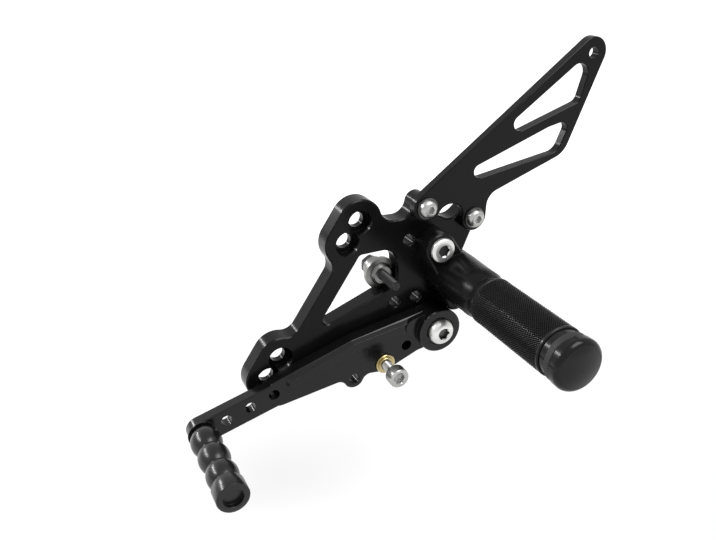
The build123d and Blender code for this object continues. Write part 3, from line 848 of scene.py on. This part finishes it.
def bossTool():
    setup = bossSetup
    outline = []
    for step in range(setup["arcSteps"] + 1):
        angle = radians(setup["arcFrom"] + (setup["arcTo"] - setup["arcFrom"]) * step / setup["arcSteps"])
        outline.append((setup["hubRadius"] * cos(angle), setup["hubRadius"] * sin(angle)))
    outline += [(-setup["reach"], outline[-1][1]), (-setup["reach"], outline[0][1])]
    bm = bmesh.new()
    layers = [[bm.verts.new((pivotAxis[0] + x, -out, pivotAxis[1] + z)) for x, z in outline]
              for out in (setup["bossTop"], setup["hubTop"])]
    bridge(bm, *layers, smooth=False)
    for layer in layers:
        bm.faces.new(layer)
    return bm


# the neck of the peg keeps its width nearly to the grip
neckSetup = {
    "steps": 96,
    "profile": [(10.6, 41.6), (13.6, 41.6), (13.6, 49.0), (12.0, 52.6), (10.6, 52.6)],
}

leverTools = [("UNION", turnedTool(pivotAxis, hubSetup)), ("DIFFERENCE", bossTool())]
carrierTools = [("UNION", turnedTool(pegAxis, neckSetup))]
rework("gear_lever", leverTools, "steppedLever", leverBlack, "lever")
rework("peg_carrier", carrierTools, "longNeckCarrier", carrierBlack, "base")


# studio: white floor with painted shade near the object, soft light from above and from the left
studio = {
    "floorDrop": 0.11, "floorRadius": 5.0, "floorSteps": 96, "floorX": 0.05,
    "floorColour": (0.74, 0.74, 0.74), "floorRough": 0.9,
    "paintedShadeGlow": 0.12, "farGlow": 0.85, "glowStart": 0.22, "glowEnd": 0.75, "ambient": 0.42,
    "cameraAt": (-0.1450, -0.3649, 0.1950), "cameraLook": (0.3855, 0.8169, -0.4291), "lens": 40.22,
    "sensor": 36.0, "clipStart": 0.01,
}
softboxes = {
    "topBox": {
        "at": (0.30, -0.55, 0.88), "aim": (0.04, -0.04, 0.0), "size": (0.60, 0.60), "power": 9.0,
    },
    "leftStrip": {
        "at": (-0.70, 0.75, 0.50), "aim": (0.05, 0.75, 0.0), "size": (1.50, 0.08), "power": 15.0,
    },
}


# rays that see the white background: straight from the camera, or by way of metal
def seenRays(tree):
    path = addNode(tree, "ShaderNodeLightPath", -700, -200)
    seen = calc(tree, "MAXIMUM", -500, -200, path.outputs["Is Camera Ray"], path.outputs["Is Glossy Ray"])
    return calc(tree, "MAXIMUM", -300, -200, seen, path.outputs["Is Transmission Ray"])


def aimAt(direction):
    return direction.to_track_quat("-Z", "Y").to_euler()


def buildFloor():
    bm = bmesh.new()
    bmesh.ops.create_circle(
        bm, cap_ends=True, segments=studio["floorSteps"], radius=studio["floorRadius"])
    mesh = bpy.data.meshes.new("studioFloor")
    bm.to_mesh(mesh)
    bm.free()
    floor = bpy.data.objects.new("studioFloor", mesh)
    floor.location = (studio["floorX"], 0.0, cadBounds[0][2] - studio["floorDrop"])
    scene.collection.objects.link(floor)
    material, tree, skin = newMaterial("floorWhite")
    skin.inputs["Base Color"].default_value = (*studio["floorColour"], 1)
    skin.inputs["Roughness"].default_value = studio["floorRough"]
    skin.inputs["Specular IOR Level"].default_value = 0.0
    skin.inputs["Emission Color"].default_value = (1, 1, 1, 1)
    coords = addNode(tree, "ShaderNodeTexCoord", -1100, -500)
    away = addNode(tree, "ShaderNodeVectorMath", -900, -500, operation="LENGTH")
    join(tree, coords.outputs["Object"], away.inputs[0])
    # painted shade: the floor glows less near the object, so it is darker there and nearly white farther
    # out
    floorGlowWithPaintedShade = remap(tree, away.outputs["Value"], studio["glowStart"], studio["glowEnd"],
                 studio["paintedShadeGlow"], studio["farGlow"], -600, -500)
    join(tree, calc(tree, "MULTIPLY", -100, -200, seenRays(tree), floorGlowWithPaintedShade), skin.inputs["Emission Strength"])
    mesh.materials.append(material)


def buildWorld():
    world = bpy.data.worlds.new("whiteStudio")
    world.use_nodes = True
    scene.world = world
    tree = world.node_tree
    sky = tree.nodes["Background"]
    sky.inputs["Color"].default_value = (1, 1, 1, 1)
    strength = remap(tree, seenRays(tree), 0.0, 1.0, studio["ambient"], 1.0, -150, 0)
    join(tree, strength, sky.inputs["Strength"])


def buildLights():
    for name, box in softboxes.items():
        light = bpy.data.lights.new(name, "AREA")
        light.shape = "RECTANGLE"
        light.size, light.size_y = box["size"]
        light.energy = box["power"]
        lamp = bpy.data.objects.new(name, light)
        lamp.location = box["at"]
        lamp.rotation_euler = aimAt(Vector(box["aim"]) - Vector(box["at"]))
        scene.collection.objects.link(lamp)


def buildCamera():
    lens = bpy.data.cameras.new("photoCamera")
    lens.sensor_width = studio["sensor"]
    lens.lens = studio["lens"]
    lens.clip_start = studio["clipStart"]
    camera = bpy.data.objects.new("photoCamera", lens)
    camera.location = studio["cameraAt"]
    camera.rotation_euler = aimAt(Vector(studio["cameraLook"]))
    scene.collection.objects.link(camera)
    scene.camera = camera


buildFloor()
buildWorld()
buildLights()
buildCamera()
print("studio ready:", len(softboxes), "softboxes")
